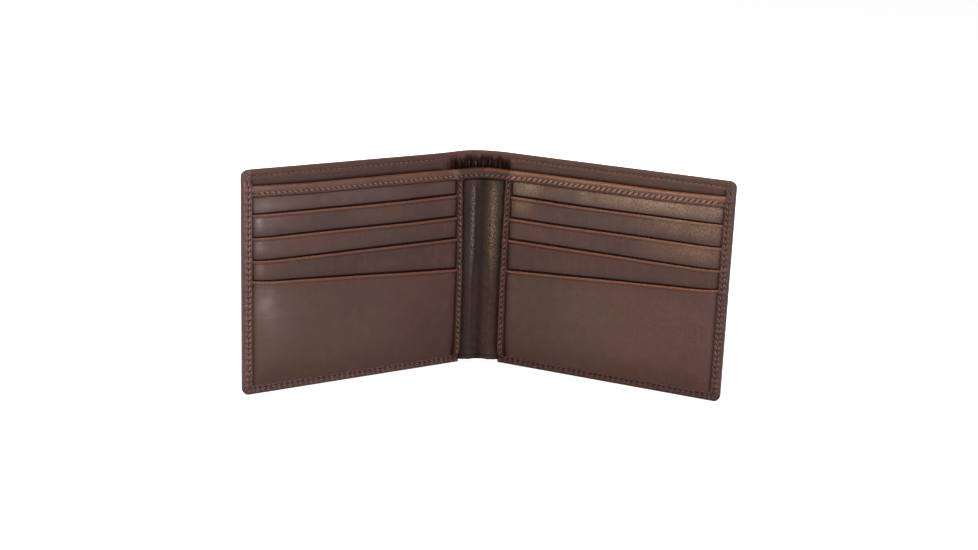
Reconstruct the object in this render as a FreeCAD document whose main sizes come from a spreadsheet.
import FreeCAD, Part
import Sketcher
import math
import os
import re

# Bifold wallet, standing on its bottom edges and opened like a book.
# Three rigid bodies: the left half, the spine and the right half.
# Origin: the left fold line at the bottom edge, in the middle of the cover leather.
# The left half runs along -X with its inside facing -Y. +Z is up.
# In every half, "run" is the distance from its fold line towards its outer
# edge, "depth" is the distance from the cover's outer face towards the
# inside, and "height" is the distance above the bottom edge.
# On the spine, the run starts at the left fold line.

App = FreeCAD
Vector = App.Vector
doc = App.newDocument("bifold_wallet")

# ---------------------------------------------------------------- sizes
# alias, value, meaning
CELLS = [
    ("fold_each", 28.35, "turn of each fold line from flat, degrees"),
    ("spine_w", 15.0, "distance between the two fold lines"),
    ("panel_w", 99.8, "fold line to outer edge of a half"),
    ("panel_z", 90.0, "height of the cover"),
    ("corner_r", 2.5, "rounded outer corners"),
    ("leather", 1.0, "cover leather"),
    ("fold_gap", 0.05, "clearance between a half cover and the spine cover"),
    ("board", 0.3, "stiffener board"),
    ("board_drop", 2.0, "top of the cover down to the board"),
    ("lining", 0.15, "compartment lining"),
    ("facing", 0.4, "leather facing of the compartment's back wall"),
    ("facing_low", 72.0, "lower edge of the facing"),
    ("facing_drop", 0.6, "top of the cover down to the facing"),
    ("divider_back", 2.35, "depth of the divider panel's rear face"),
    ("divider", 0.35, "divider panel"),
    ("backing", 0.3, "pocket backing"),
    ("slot", 0.8, "room for one card"),
    ("tape", 0.1, "pocket lining"),
    ("pocket", 0.3, "card pocket leather"),
    ("front", 0.4, "front pocket leather"),
    ("mouth_a", 73.0, "mouth of card pocket 1"),
    ("mouth_b", 64.0, "mouth of card pocket 2"),
    ("mouth_c", 55.0, "mouth of card pocket 3"),
    ("mouth_out", 47.0, "mouth of the front pocket at the outer edge"),
    ("mouth_in", 42.5, "mouth of the front pocket at the spine"),
    ("taper_drop", 1.0, "outer end of the front mouth down to the edges' taper"),
    ("floor_a", 25.0, "bottom of card slot 1"),
    ("floor_b", 16.0, "bottom of card slot 2"),
    ("floor_c", 7.0, "bottom of card slot 3"),
    ("seam_w", 1.5, "width of a pocket's bottom seam"),
    ("turned", 3.5, "turned edge at a pocket's mouth, free of lining"),
    ("inner_run", 4.2, "run where the inside parts begin"),
    ("trim_w", 3.8, "width of the spine-side trim"),
    ("trim_depth", 7.4, "depth of the trim's front face"),
    ("trim_back", 2.35, "depth of the trim's rear face"),
    ("trim_foot", 0.6, "trim's bottom edge in front of the seam's face"),
    ("seam_run", 94.8, "run where the outer side seam begins"),
    ("seam_depth", 3.2, "depth of the seam's front face"),
    ("side_drop", 0.2, "underside of the binding down to the side seam"),
    ("riser", 0.8, "bonded ply edges beside the pockets"),
    ("riser_lap", 0.2, "how deep the side riser sinks into the seam"),
    ("stack", 7.8, "depth of the whole stack"),
    ("hem", 3.5, "width of the bottom border"),
    ("strip", 0.5, "border strip leather"),
    ("bind_back", 2.3, "depth of the top binding's rear face"),
    ("bind", 1.1, "top binding, folded double"),
    ("bind_w", 3.9, "height of the top binding"),
    ("top_in", 78.2, "underside of the binding at the spine"),
    ("top_out", 80.2, "underside of the binding at the outer edge"),
    ("thread", 0.15, "height of the thread over the leather"),
    ("thread_w", 0.5, "thread line width"),
    ("thread_inset", 1.0, "end of a thread from the end of its strip"),
    ("hem_stitch", 1.7, "bottom edge up to the border thread"),
    ("side_stitch", 1.9, "outer edge to the border thread"),
    ("trim_stitch", 1.7, "spine-side edge of the trim to its thread"),
    ("bind_stitch", 1.5, "binding's underside, or outer edge, to its thread"),
    ("top_stitch", 3.0, "top of the cover down to its thread"),
    ("spine_in", 1.6, "clearance of the spine's inside parts from a fold line"),
    ("panel_in", 2.6, "depth of the inner spine panel's rear face"),
    ("panel_low", 0.8, "bottom of the inner spine panel"),
    ("inner_spine", 0.6, "inner spine leather"),
]
sheet = doc.addObject("Spreadsheet::Sheet", "params")
VALUES = {}
for row, (alias, value, note) in enumerate(CELLS, start=1):
    sheet.set("A%d" % row, alias)
    sheet.set("B%d" % row, str(value))
    sheet.set("C%d" % row, note)
    sheet.setAlias("B%d" % row, alias)
    VALUES[alias] = value
doc.recompute()

# Sizes are written as sums of products of aliases, without brackets.
TRIM_END = "inner_run + trim_w"
SEAM_TOP = "hem + riser"
SIDE_TOP = "top_out - side_drop"
TAPER_LOW = "mouth_out - taper_drop"
RISER_END = "seam_run + riser"
BOARD_FRONT = "leather + board"
FACING_FRONT = "leather + board + facing"
BACKING_REAR = "divider_back + divider"
BACKING_FRONT = BACKING_REAR + " + backing"
BINDING_FRONT = "bind_back + bind"
# floor and mouth heights of the card pockets, back to front
CARD_POCKETS = [("floor_a", "mouth_a"), ("floor_b", "mouth_b"), ("floor_c", "mouth_c")]


def bound(text):
    """A size such as 'panel_w - 2*riser', with its words bound to the sheet."""
    return re.sub(r"[A-Za-z_][A-Za-z_0-9]*", lambda word: "params." + word.group(0), text)


def number(text):
    """The same size as a number."""
    total = 0.0
    for sign, term in re.findall(r"([+-]?)\s*([A-Za-z_0-9.*]+)", text):
        product = 1.0
        for factor in term.split("*"):
            product *= VALUES[factor] if factor in VALUES else float(factor)
        total += -product if sign == "-" else product
    return total


def less(size, taken):
    """One size less another, with every sign of the second turned."""
    return size + " - " + taken.translate(str.maketrans("+-", "-+"))


# ---------------------------------------------------------------- bodies and sketches
FOLDS = {"left": 0, "spine": 1, "right": 2}  # fold lines between each side and the left half
parts = []


def new_body(label, side):
    """A body turned about Z by its side's folds. The right one starts at the right fold line."""
    body = doc.addObject("PartDesign::Body", label)
    body.Label = label
    body.AllowCompound = True
    turn = App.Rotation(Vector(0, 0, 1), -FOLDS[side] * VALUES["fold_each"])
    body.Placement = App.Placement(Vector(0, 0, 0), turn)
    if side == "right":
        body.setExpression("Placement.Base.x", "params.spine_w * cos(params.fold_each)")
        body.setExpression("Placement.Base.y", "-params.spine_w * sin(params.fold_each)")
    parts.append(body)
    return body


def new_sketch(body, role):
    """An empty sketch on one of the body's origin planes."""
    plane = next(item for item in body.Origin.OriginFeatures if item.Role == role)
    sketch = body.newObject("Sketcher::SketchObject", body.Name + "_sketch")
    sketch.AttachmentSupport = [(plane, "")]
    sketch.MapMode = "FlatFace"
    return sketch


def constrain(sketch, size, kind, *where):
    """Adds a dimension and binds it to the sheet."""
    index = sketch.addConstraint(Sketcher.Constraint(kind, *where, number(size)))
    sketch.setExpression("Constraints[%d]" % index, bound(size))


def outline(body, role, points, offset, flip):
    """A closed polygon whose corners are all bound to the sheet; flip mirrors it to -X."""
    sketch = new_sketch(body, role)
    sketch.AttachmentOffset = App.Placement(Vector(0, 0, number(offset)), App.Rotation())
    sketch.setExpression("AttachmentOffset.Base.z", bound(offset))
    across = -1 if flip else 1
    spots = [Vector(across * number(x), number(y), 0) for x, y in points]
    count = len(spots)
    for i in range(count):
        sketch.addGeometry(Part.LineSegment(spots[i], spots[(i + 1) % count]), False)
    for i in range(count):
        sketch.addConstraint(Sketcher.Constraint("Coincident", i, 2, (i + 1) % count, 1))
    for i, (x, y) in enumerate(points):
        # the last value is the sketch axis for a corner whose size is zero
        for kind, size, turned, axis in (("DistanceX", x, flip, -2), ("DistanceY", y, False, -1)):
            if abs(number(size)) < 1e-9:
                sketch.addConstraint(Sketcher.Constraint("PointOnObject", i, 1, axis))
            elif turned:
                constrain(sketch, size, kind, i, 1, -1, 1)
            else:
                constrain(sketch, size, kind, -1, 1, i, 1)
    return sketch


def pad(body, sketch, thick):
    feature = body.newObject("PartDesign::Pad", body.Name + "_pad")
    feature.Profile = sketch
    feature.Length = number(thick)
    feature.setExpression("Length", bound(thick))
    sketch.Visibility = False


def flat_pad(body, side, points, depth, thick):
    """A flat layer: outline in run and height, lying at a depth."""
    offset = less(depth, "0.5*leather")
    pad(body, outline(body, "XZ_Plane", points, offset, side == "left"), thick)


def flat(label, side, points, depth, thick):
    """A body made of one flat layer."""
    body = new_body(label, side)
    flat_pad(body, side, points, depth, thick)
    return body


def box_points(run_low, run_high, low, high):
    return [(run_low, low), (run_high, low), (run_high, high), (run_low, high)]


def bar_pad(body, side, points, run_low, run_high):
    """A long piece: outline in depth and height, swept along the run."""
    drawn = [(less("0.5*leather", depth), height) for depth, height in points]
    offset = less("0", run_high) if side == "left" else run_low
    pad(body, outline(body, "YZ_Plane", drawn, offset, False), less(run_high, run_low))


def round_corners(body, heights):
    """Rounds the outer corners at the given heights (edges along the depth)."""
    doc.recompute()
    tip = body.Tip
    reach = VALUES["panel_w"]
    names = []
    for i, edge in enumerate(tip.Shape.Edges, start=1):
        if len(edge.Vertexes) != 2:
            continue
        start, end = edge.Vertexes[0].Point, edge.Vertexes[1].Point
        along_depth = abs(start.y - end.y) >= 1e-6
        outer = all(abs(abs(spot.x) - reach) <= 1e-6 for spot in (start, end))
        level = any(abs(start.z - z) < 1e-6 and abs(end.z - z) < 1e-6 for z in heights)
        if along_depth and outer and level:
            names.append("Edge%d" % i)
    if len(names) != len(heights):
        raise RuntimeError("corner edges of " + body.Label)
    feature = body.newObject("PartDesign::Fillet", body.Name + "_corners")
    feature.Base = (tip, names)
    feature.Radius = VALUES["corner_r"]
    feature.setExpression("Radius", "params.corner_r")


# ---------------------------------------------------------------- halves
def outer_cover(side):
    """Cover leather, from just beyond the fold line to the outer edge."""
    points = box_points("0.5*leather + fold_gap", "panel_w", "0", "panel_z")
    cover = flat(side + "_outer_cover", side, points, "0", "leather")
    round_corners(cover, [0.0, VALUES["panel_z"]])


def cover_stiffener(side):
    """Board that keeps the half flat, between the cover and its lining."""
    points = box_points("inner_run", "seam_run", SEAM_TOP, "panel_z - board_drop")
    flat(side + "_cover_stiffener", side, points, "leather", "board")


def note_back_wall(side):
    """Back wall of the note compartment: fabric low down, leather at the mouth."""
    points = box_points("inner_run", "seam_run", SEAM_TOP, "facing_low")
    flat(side + "_note_lining", side, points, BOARD_FRONT, "lining")
    points = box_points("0.5*inner_run", "seam_run", "facing_low", "panel_z - facing_drop")
    flat(side + "_note_facing", side, points, BOARD_FRONT, "facing")


def note_front_wall(side):
    """Front wall of the note compartment and the panel the pockets are sewn to."""
    wall = [(TRIM_END, SEAM_TOP), ("seam_run", SEAM_TOP), ("seam_run", SIDE_TOP),
            (TRIM_END, "top_in")]
    flat(side + "_divider_panel", side, wall, "divider_back", "divider")
    flat(side + "_pocket_backing", side, wall, BACKING_REAR, "backing")


def slot_room(before):
    """Backing to the front of a card slot that has this many pockets behind it."""
    return "%d*slot + %d*tape + %d*pocket" % (before + 1, before, before)


def card_pockets(side):
    """Three stepped card pockets, each lined behind, with a turned mouth."""
    for i, (floor, mouth) in enumerate(CARD_POCKETS):
        depth = BACKING_FRONT + " + " + slot_room(i)
        low = floor + " - seam_w"
        flat("%s_pocket_lining_%d" % (side, i + 1), side,
             box_points(TRIM_END, "seam_run", low, mouth + " - turned"), depth, "tape")
        flat("%s_card_pocket_%d" % (side, i + 1), side,
             box_points(TRIM_END, "seam_run", low, mouth), depth + " + tape", "pocket")


def front_pocket(side):
    """Front pocket, whose mouth runs lower at the spine than at the outer edge."""
    points = [(TRIM_END, SEAM_TOP), ("seam_run", SEAM_TOP), ("seam_run", "mouth_out"),
              (TRIM_END, "mouth_in")]
    depth = BACKING_FRONT + " + " + slot_room(len(CARD_POCKETS))
    flat(side + "_front_pocket", side, points, depth, "front")


def pocket_bottom_seams(side):
    """Bottom seams of the card slots, from the backing out to each lining."""
    seams = new_body(side + "_pocket_bottom_seams", side)
    for i, (floor, _) in enumerate(CARD_POCKETS):
        points = box_points(TRIM_END, "seam_run", floor + " - seam_w", floor)
        flat_pad(seams, side, points, BACKING_FRONT, slot_room(i))
        doc.recompute()


def outer_side_seam(side):
    """Bonded plies along the outer edge, and the riser the pocket edges meet."""
    points = box_points("seam_run", "panel_w", "0", SIDE_TOP)
    seam = flat(side + "_outer_side_seam", side, points, "leather", "seam_depth - leather")
    round_corners(seam, [0.0])
    rear = "seam_depth - riser_lap"
    bar_pad(seam, side,
            [(rear, SEAM_TOP), ("stack", SEAM_TOP), ("stack", TAPER_LOW),
             ("seam_depth", SIDE_TOP), (rear, SIDE_TOP)],
            "seam_run", RISER_END)


def bottom_seam(side):
    """Bonded plies along the bottom edge, with their riser."""
    bar_pad(new_body(side + "_bottom_seam", side), side,
            [("leather", "0"), ("seam_depth", "0"), ("seam_depth", "hem"), ("stack", "hem"),
             ("stack", SEAM_TOP), ("leather", SEAM_TOP)],
            TRIM_END, "seam_run")


def spine_side_trim(side):
    """Folded strip over the pockets' edges beside the spine."""
    bar_pad(new_body(side + "_spine_side_trim", side), side,
            [("trim_back", "0"), ("seam_depth + trim_foot", "0"), ("trim_depth", SEAM_TOP),
             ("trim_depth", TAPER_LOW), (BINDING_FRONT, "top_in"), ("trim_back", "top_in")],
            "inner_run", TRIM_END)


def top_binding(side):
    """Folded binding along the top of the divider."""
    points = [("inner_run", "top_in"), ("panel_w", "top_out"), ("panel_w", "top_out + bind_w"),
              ("inner_run", "top_in + bind_w")]
    flat(side + "_top_binding", side, points, "bind_back", "bind")


def edge_border(side):
    """Leather border along the outer and bottom edges."""
    points = [(TRIM_END, "0"), ("panel_w", "0"), ("panel_w", SIDE_TOP),
              (RISER_END, SIDE_TOP), (RISER_END, "hem"), (TRIM_END, "hem")]
    border = flat(side + "_edge_border", side, points, "seam_depth", "strip")
    round_corners(border, [0.0])


def border_thread(side):
    """L-shaped thread line on the border."""
    start, outer = TRIM_END + " + thread_inset", "panel_w - side_stitch"
    inner, top = outer + " - thread_w", SIDE_TOP + " - thread_inset"
    low, high = "hem_stitch", "hem_stitch + thread_w"
    points = [(start, low), (outer, low), (outer, top), (inner, top), (inner, high), (start, high)]
    flat(side + "_border_thread", side, points, "seam_depth + strip", "thread")


def trim_thread(side):
    """Thread line that follows the trim's front face."""
    raised, raised_top = "trim_depth + thread", BINDING_FRONT + " + thread"
    start = "inner_run + trim_stitch"
    bar_pad(new_body(side + "_trim_thread", side), side,
            [("trim_depth", SEAM_TOP), (raised, SEAM_TOP), (raised, TAPER_LOW),
             (raised_top, "top_in"), (BINDING_FRONT, "top_in"), ("trim_depth", TAPER_LOW)],
            start, start + " + thread_w")


def binding_thread(side):
    start, end = "inner_run + thread_inset", "panel_w - bind_stitch"
    low_in, low_out = "top_in + bind_stitch", "top_out + bind_stitch"
    points = [(start, low_in), (end, low_out), (end, low_out + " + thread_w"),
              (start, low_in + " + thread_w")]
    flat(side + "_binding_thread", side, points, BINDING_FRONT, "thread")


def cover_top_thread(side):
    low = "panel_z - top_stitch"
    points = box_points("inner_run", "seam_run - thread_inset", low, low + " + thread_w")
    flat(side + "_cover_top_thread", side, points, FACING_FRONT, "thread")


HALF_PIECES = [
    outer_cover, cover_stiffener, note_back_wall, note_front_wall, card_pockets, front_pocket,
    pocket_bottom_seams, outer_side_seam, bottom_seam, spine_side_trim, top_binding,
    edge_border, border_thread, trim_thread, binding_thread, cover_top_thread,
]
for side in ("left", "right"):
    for build in HALF_PIECES:
        build(side)


# ---------------------------------------------------------------- spine
def cover_spine():
    """Cover leather between the folds, with a round edge on each fold line."""
    spine = new_body("cover_spine", "spine")
    sketch = new_sketch(spine, "XY_Plane")
    half, reach = number("0.5*leather"), VALUES["spine_w"]
    quarter = math.pi / 2
    up = Vector(0, 0, 1)
    right_circle = Part.Circle(Vector(reach, 0, 0), up, half)
    left_circle = Part.Circle(Vector(0, 0, 0), up, half)
    for curve in (
        Part.LineSegment(Vector(0, half, 0), Vector(reach, half, 0)),
        Part.ArcOfCircle(right_circle, -quarter, quarter),
        Part.LineSegment(Vector(reach, -half, 0), Vector(0, -half, 0)),
        Part.ArcOfCircle(left_circle, quarter, 3 * quarter),
    ):
        sketch.addGeometry(curve, False)
    for joint in ((0, 2, 1, 2), (1, 1, 2, 1), (2, 2, 3, 2), (3, 1, 0, 1)):
        sketch.addConstraint(Sketcher.Constraint("Tangent", *joint))
    sketch.addConstraint(Sketcher.Constraint("Coincident", 3, 3, -1, 1))
    sketch.addConstraint(Sketcher.Constraint("PointOnObject", 1, 3, -1))
    constrain(sketch, "0.5*leather", "Radius", 3)
    constrain(sketch, "spine_w", "DistanceX", 3, 3, 1, 3)
    pad(spine, sketch, "panel_z")


def spine_band(label, low, high, depth, thick):
    """A flat piece between the folds, clear of both fold lines."""
    points = box_points("spine_in", "spine_w - spine_in", low, high)
    flat(label, "spine", points, depth, thick)


cover_spine()
spine_band("spine_lining", "hem", "facing_low", "leather", "board")
# gathered leather of the back wall, at the compartment's mouth
spine_band("spine_gathered_facing", "facing_low", "panel_z - facing_drop",
           "leather", "facing + board")
# leather that joins the two insides, and the binding along its top
spine_band("inner_spine_panel", "panel_low", "top_in", "panel_in", "inner_spine")
spine_band("spine_binding", "top_in", "top_in + bind_w", "bind_back", "bind")
spine_band("spine_binding_thread", "top_in + bind_stitch", "top_in + bind_stitch + thread_w",
           BINDING_FRONT, "thread")
spine_band("spine_facing_thread", "panel_z - top_stitch", "panel_z - top_stitch + thread_w",
           FACING_FRONT, "thread")

doc.recompute()

# ---------------------------------------------------------------- checks and files
for obj in doc.Objects:
    if "Invalid" in obj.State or "Error" in obj.State:
        raise RuntimeError(obj.Name + " " + str(obj.State))
for part in parts:
    shape = part.Shape
    if shape.isNull() or not shape.isValid() or not shape.Solids:
        raise RuntimeError("bad shape: " + part.Label)

os.makedirs("parts", exist_ok=True)
for part in parts:
    part.Shape.exportStep("parts/" + part.Label + ".step")
